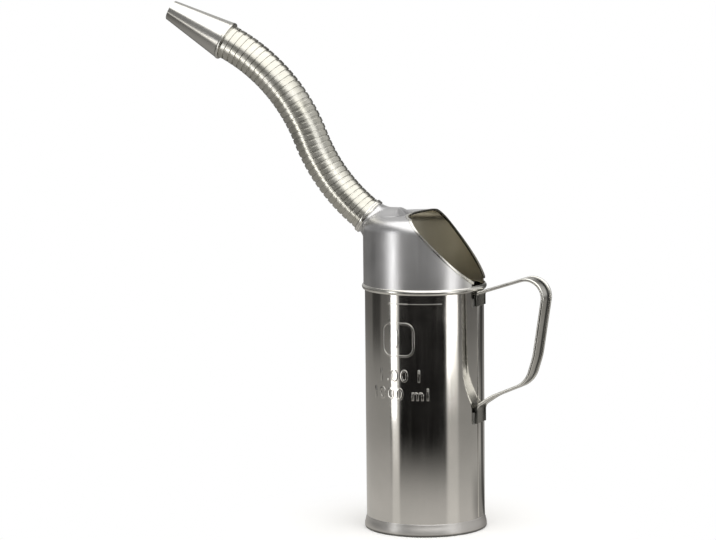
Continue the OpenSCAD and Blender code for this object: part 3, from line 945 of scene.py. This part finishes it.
# %% [markdown]
# The can's wall reflects nearly nothing but the table: its foot shows the table close by, and its
# top shows the table far away. So the table glows for reflections by simple rules. Round the foot
# it is pale. Towards the camera it soon falls into the photographer's shadow, which ends two metres
# away, and to the sides it fades slowly. In front of the two tall lights lies their own glow. A
# dark patch far to the left, a narrow dark wedge behind to the right and the jug's own shadow make
# it less even.

# %% Lay the table
TABLE_SIZE = 4.0
MIRROR_POINT = 0.026
PALE, SHADOW, SIDE_NEAR, SIDE_FAR, FRONT_FAR = 0.58, 0.01, 0.34, 0.13, 0.55
PALE_END, SIDE_MIDDLE, SIDE_END = 0.08, 0.5, 1.3
SHADOW_FULL, SHADOW_END, SHADOW_GONE = 0.44, 1.8, 2.15
FRONT_TURN, FRONT_HALF_W = -15, 56
PATCH_TURN, PATCH_HALF_W, PATCH_FROM, PATCH_FULL, PATCH_DARK = -108, 12, 0.75, 1.05, 0.65
BACK_TURN, BACK_HALF_W, BACK_DARK = 140, 7, 0.75
OWN_TURN, OWN_HALF_W, OWN_FULL, OWN_GONE, OWN_DARK = 128, 22, 0.12, 0.32, 0.5
LEFT_TURN, RIGHT_TURN = -61.2, 53.6
LEFT_DISTANCE, RIGHT_DISTANCE = 0.5, 0.85
GLOW_LOW, LEFT_GLOW, RIGHT_GLOW = 0.16, 0.9, 1.0
WHITE_FROM, WHITE_FULL = 0.055, 0.16

table_mesh = bpy.data.meshes.new("table")
table_bm = bmesh.new()
bmesh.ops.create_grid(table_bm, x_segments=1, y_segments=1, size=TABLE_SIZE)
table_bm.to_mesh(table_mesh)
table_bm.free()
table = bpy.data.objects.new("table", table_mesh)
bpy.context.scene.collection.objects.link(table)

table_paper = bpy.data.materials.new("table_paper")
table_paper.use_nodes = True
tree = table_paper.node_tree
paper, joined = tree.nodes, tree.links
paper.remove(paper["Principled BSDF"])
where = paper.new("ShaderNodeTexCoord").outputs["Object"]
away = arrow(tree, "LENGTH", where)
outward = arrow(tree, "NORMALIZE", arrow(tree, "SUBTRACT", where, compass(0) * MIRROR_POINT))

sideways = fade(tree, away, SIDE_MIDDLE, SIDE_END,
                fade(tree, away, PALE_END, SIDE_MIDDLE, PALE, SIDE_NEAR), SIDE_FAR)
forward = fade(tree, away, SHADOW_END, SHADOW_GONE,
               fade(tree, away, PALE_END, SHADOW_FULL, PALE, SHADOW), FRONT_FAR)
ground = fade(tree, wedge(tree, outward, FRONT_TURN, FRONT_HALF_W, edge=4), 0, 1, sideways, forward,
              smooth=False)
dark_patch = calculate(tree, "MULTIPLY", wedge(tree, outward, PATCH_TURN, PATCH_HALF_W, edge=5),
                       fade(tree, away, PATCH_FROM, PATCH_FULL, 0, PATCH_DARK))
dark_wedge = calculate(tree, "MULTIPLY", wedge(tree, outward, BACK_TURN, BACK_HALF_W, edge=4),
                       BACK_DARK)
own_shadow = calculate(tree, "MULTIPLY", wedge(tree, outward, OWN_TURN, OWN_HALF_W, edge=14),
                       fade(tree, away, OWN_FULL, OWN_GONE, OWN_DARK, 0))
for darker in (dark_patch, dark_wedge, own_shadow):
    ground = calculate(tree, "MULTIPLY", ground, calculate(tree, "SUBTRACT", 1, darker))
left_glow = calculate(tree, "MULTIPLY", wedge(tree, outward, LEFT_TURN, half_width=7, edge=3),
                      fade(tree, away, 0.1, LEFT_DISTANCE, GLOW_LOW, LEFT_GLOW))
right_glow = calculate(tree, "MULTIPLY", wedge(tree, outward, RIGHT_TURN, half_width=11, edge=5),
                       fade(tree, away, 0.5, 0.9, GLOW_LOW, RIGHT_GLOW))
for_metal = paper.new("ShaderNodeEmission")
for_metal.inputs["Color"].default_value = (1, 0.97, 0.92, 1)
joined.new(calculate(tree, "ADD", ground, calculate(tree, "ADD", left_glow, right_glow)),
           for_metal.inputs["Strength"])

white_paper = paper.new("ShaderNodeBsdfDiffuse")
white_paper.inputs["Color"].default_value = (0.95, 0.95, 0.95, 1)
white_glow = paper.new("ShaderNodeEmission")
for_camera = paper.new("ShaderNodeMixShader")
joined.new(fade(tree, away, WHITE_FROM, WHITE_FULL), for_camera.inputs["Fac"])
joined.new(white_paper.outputs["BSDF"], for_camera.inputs[1])
joined.new(white_glow.outputs["Emission"], for_camera.inputs[2])
ray = paper.new("ShaderNodeLightPath")
either = paper.new("ShaderNodeMixShader")
joined.new(ray.outputs["Is Camera Ray"], either.inputs["Fac"])
joined.new(for_metal.outputs["Emission"], either.inputs[1])
joined.new(for_camera.outputs["Shader"], either.inputs[2])
joined.new(either.outputs["Shader"], paper["Material Output"].inputs["Surface"])
table_mesh.materials.append(table_paper)
print("the table reaches", TABLE_SIZE, "m each way from the jug")

# %% [markdown]
# The soft box is a rectangle that hangs level over the jug and reaches far towards the camera. A
# ray of the world has only a direction, so it is followed up to a height of one metre, and the
# place where it arrives there tells whether it meets the box. The walls of the room are lighter
# behind the jug than in front of it, apart from one dark upright, such as an open door, behind it
# to the right.

# %% Hang the soft box in the world
BOX_FRONT, BOX_BACK, BOX_LEFT, BOX_RIGHT, BOX_EDGE = 2.5, 0.6, 0.95, 1.1, 0.15
BOX_LIGHT = 1.8
WALL_BEHIND, WALL_FRONT, WALL_LEFT, WALL_RIGHT = 0.52, 0.24, 0.22, 0.62
BACK_EDGE, FRONT_EDGE, SIDE_EDGE = (-0.95, -0.4), (0, 0.7), (-0.5, 0.5)
DOOR_TURN, DOOR_HALF_W, DOOR_DARK = 150, 14, 0.85

world = bpy.data.worlds.new("studio")
bpy.context.scene.world = world
world.use_nodes = True
sky = world.node_tree
direction = sky.nodes.new("ShaderNodeTexCoord").outputs["Generated"]
up = calculate(sky, "MAXIMUM", arrow(sky, "DOT_PRODUCT", direction, (0, 0, 1)), 0.01)
to_front = arrow(sky, "DOT_PRODUCT", direction, compass(0))
to_right = arrow(sky, "DOT_PRODUCT", direction, compass(90))
place_front = calculate(sky, "DIVIDE", to_front, up)
place_right = calculate(sky, "DIVIDE", to_right, up)
in_box = fade(sky, up, 0.02, 0.1)
for place, limit, side in ((place_front, BOX_FRONT, 1), (place_front, -BOX_BACK, -1),
                           (place_right, BOX_RIGHT, 1), (place_right, -BOX_LEFT, -1)):
    edge = side * BOX_EDGE * abs(limit)
    in_box = calculate(sky, "MULTIPLY", in_box, fade(sky, place, limit + edge, limit - edge))
sides = fade(sky, to_right, *SIDE_EDGE, WALL_LEFT, WALL_RIGHT)
walls = fade(sky, to_front, *BACK_EDGE, WALL_BEHIND,
             fade(sky, to_front, *FRONT_EDGE, sides, WALL_FRONT))
level = arrow(sky, "NORMALIZE", arrow(sky, "MULTIPLY", direction, (1, 1, 0)))
door = fade(sky, wedge(sky, level, DOOR_TURN, DOOR_HALF_W, edge=6), 0, 1, 1, 1 - DOOR_DARK,
            smooth=False)
walls = calculate(sky, "MULTIPLY", walls, door)

lit = sky.nodes["Background"]
lit.inputs["Color"].default_value = (1, 0.99, 0.97, 1)
sky.links.new(fade(sky, in_box, 0, 1, walls, BOX_LIGHT, smooth=False), lit.inputs["Strength"])
backdrop = sky.nodes.new("ShaderNodeBackground")
backdrop.inputs["Color"].default_value = (1, 1, 1, 1)
seen = sky.nodes.new("ShaderNodeLightPath")
shown = sky.nodes.new("ShaderNodeMixShader")
sky.links.new(seen.outputs["Is Camera Ray"], shown.inputs["Fac"])
sky.links.new(lit.outputs["Background"], shown.inputs[1])
sky.links.new(backdrop.outputs["Background"], shown.inputs[2])
sky.links.new(shown.outputs["Shader"], sky.nodes["World Output"].inputs["Surface"])
print("the soft box is", BOX_LIGHT, "bright, and the walls from", WALL_LEFT, "to", WALL_RIGHT)

# %% [markdown]
# One tall light stands to the left, and one to the right in two parts: a low one at a slant, and a
# dimmer one above it. The last light hangs higher and nearer to the camera, for the hose.

# %% Stand the soft lights round the jug
UPPER_TURN, HOSE_LIGHT_TURN = 50, 36


def soft_light(name, turn, distance, width, low, top, strength, slant=0):
    """A tall soft light that faces the jug, or stands at a slant with its right side further off."""
    data = bpy.data.lights.new(name, "AREA")
    data.shape = "RECTANGLE"
    data.size, data.size_y = width, top - low
    data.energy = strength * width * (top - low) * math.pi
    lamp = bpy.data.objects.new(name, data)
    stand = compass(turn)
    lamp.matrix_world = Matrix.Translation(
        stand * distance + Vector((0, 0, (low + top) / 2))) @ compass(turn - slant).to_track_quat(
            "Z", "Y").to_matrix().to_4x4()
    lamp.visible_camera = False
    bpy.context.scene.collection.objects.link(lamp)
    print(name, round(data.energy, 2), "W")


soft_light("left_light", LEFT_TURN, LEFT_DISTANCE, width=0.095, low=0.005, top=0.36, strength=2.2)
soft_light("right_light", RIGHT_TURN, RIGHT_DISTANCE, width=0.42, low=0.005, top=0.09,
           strength=2.2, slant=40)
soft_light("right_light_top", UPPER_TURN, RIGHT_DISTANCE, width=0.24, low=0.09, top=0.5,
           strength=0.9)
soft_light("hose_light", HOSE_LIGHT_TURN, RIGHT_DISTANCE, width=0.5, low=0.34, top=0.8, strength=1.1)

bpy.context.scene.view_settings.view_transform = "Standard"
